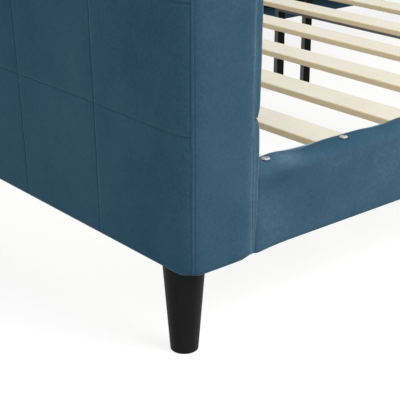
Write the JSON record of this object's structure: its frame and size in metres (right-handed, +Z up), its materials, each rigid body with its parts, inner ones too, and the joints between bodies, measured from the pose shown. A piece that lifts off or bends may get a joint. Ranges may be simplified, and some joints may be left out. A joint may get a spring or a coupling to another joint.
{
  "type": "day bed frame",
  "caption": "Day bed frame with quilted velvet arms and back round a slatted base, on tapered corner legs and a steel underframe.",
  "frame": {"origin": "middle of the footprint, on the floor", "axes": "+X along the bed, the open front faces -Y and the back is at +Y, +Z up"},
  "size_m": [2.23, 1.04, 0.73],
  "materials": {
    "velvet": "short pile velvet, blue grey",
    "slat_plywood": "clear lacquered birch plywood",
    "frame_timber": "planed softwood",
    "fibre_board": "smooth hardboard",
    "black_wood": "satin black stain",
    "black_steel": "black powder coat",
    "black_plastic": "moulded, fine matt",
    "screw_steel": "bright nickel plate",
    "plated_steel": "zinc plate"
  },
  "bodies": {
    "root": {"back_bottom_rail": "frame_timber", "back_front_board": "fibre_board", "back_front_cover": "velvet", "back_posts": "frame_timber", "back_rear_board": "fibre_board", "back_rear_cover": "velvet", "back_top_cover": "velvet", "back_top_rail": "frame_timber", "cross_tie": "black_steel", "end_plates": "black_steel", "frame_bolts": "plated_steel", "front_left_leg": "black_wood", "front_rail": "frame_timber", "front_rail_cover": "velvet", "front_right_leg": "black_wood", "left_arm_bottom_rail": "frame_timber", "left_arm_front_cover": "velvet", "left_arm_inner_board": "fibre_board", "left_arm_inner_cover": "velvet", "left_arm_outer_board": "fibre_board", "left_arm_outer_cover": "velvet", "left_arm_posts": "frame_timber", "left_arm_rear_cover": "velvet", "left_arm_top_cover": "velvet", "left_arm_top_rail": "frame_timber", "leg_bolts": "plated_steel", "long_beam": "black_steel", "rail_brackets": "plated_steel", "rear_left_leg": "black_wood", "rear_right_leg": "black_wood", "rear_slat_ledge": "frame_timber", "right_arm_bottom_rail": "frame_timber", "right_arm_front_cover": "velvet", "right_arm_inner_board": "fibre_board", "right_arm_inner_cover": "velvet", "right_arm_outer_board": "fibre_board", "right_arm_outer_cover": "velvet", "right_arm_posts": "frame_timber", "right_arm_rear_cover": "velvet", "right_arm_top_cover": "velvet", "right_arm_top_rail": "frame_timber", "slat_01": "slat_plywood", "slat_02": "slat_plywood", "slat_03": "slat_plywood", "slat_04": "slat_plywood", "slat_05": "slat_plywood", "slat_06": "slat_plywood", "slat_07": "slat_plywood", "slat_08": "slat_plywood", "slat_09": "slat_plywood", "slat_10": "slat_plywood", "slat_11": "slat_plywood", "slat_12": "slat_plywood", "slat_13": "slat_plywood", "slat_14": "slat_plywood", "slat_15": "slat_plywood", "slat_screws": "screw_steel", "support_leg_caps": "black_plastic", "support_legs": "black_steel"}
  },
  "joints": []
}
